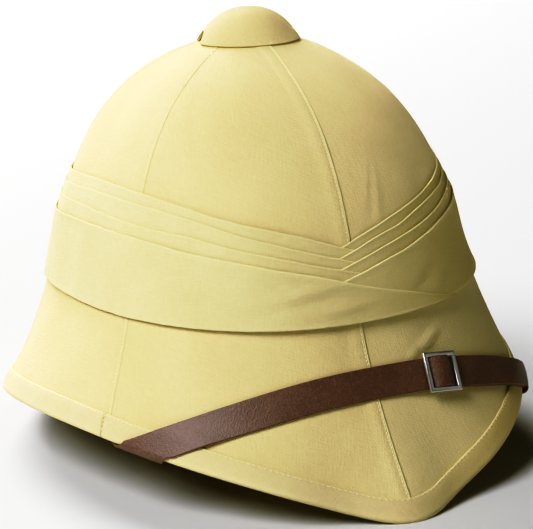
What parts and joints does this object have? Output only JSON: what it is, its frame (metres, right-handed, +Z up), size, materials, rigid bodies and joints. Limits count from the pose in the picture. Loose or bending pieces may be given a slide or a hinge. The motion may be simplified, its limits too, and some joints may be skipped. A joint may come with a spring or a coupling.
{
  "type": "sun helmet",
  "caption": "Cloth-covered sun helmet with a domed crown, pleated cloth band, bound sloping brim with a pointed peak, ventilator cap and a leather chin strap over the peak.",
  "frame": {"origin": "on the ground, under the middle of the helmet's bounding box; the helmet stands on its brim", "axes": "+Z up, -Y towards the peak at the front, +X towards the wearer's left"},
  "size_m": [0.2864, 0.3403, 0.251],
  "materials": {
    "cover_cloth": "matt khaki drill cloth, glued over the shell",
    "binding_cloth": "matt khaki cloth strip, folded and stitched",
    "puggaree_cloth": "matt khaki cotton, wound in pleats",
    "puggaree_wrap_cloth": "matt khaki cotton, the last wide turn",
    "cap_cloth": "matt khaki cloth stretched over a dome",
    "post_metal": "plain dull metal",
    "strap_leather": "dark brown, slightly shiny, fine grain",
    "slide_metal": "bright nickel plate",
    "stud_metal": "plain dull metal"
  },
  "bodies": {
    "root": {"helmet_shell": "cover_cloth", "brim_binding": "binding_cloth", "puggaree_folds": "puggaree_cloth", "puggaree_wrap": "puggaree_wrap_cloth", "vent_cap": "cap_cloth", "cap_post": "post_metal", "chin_strap": "strap_leather", "slide_buckle": "slide_metal", "strap_stud_right": "stud_metal", "strap_stud_left": "stud_metal"}
  },
  "joints": []
}
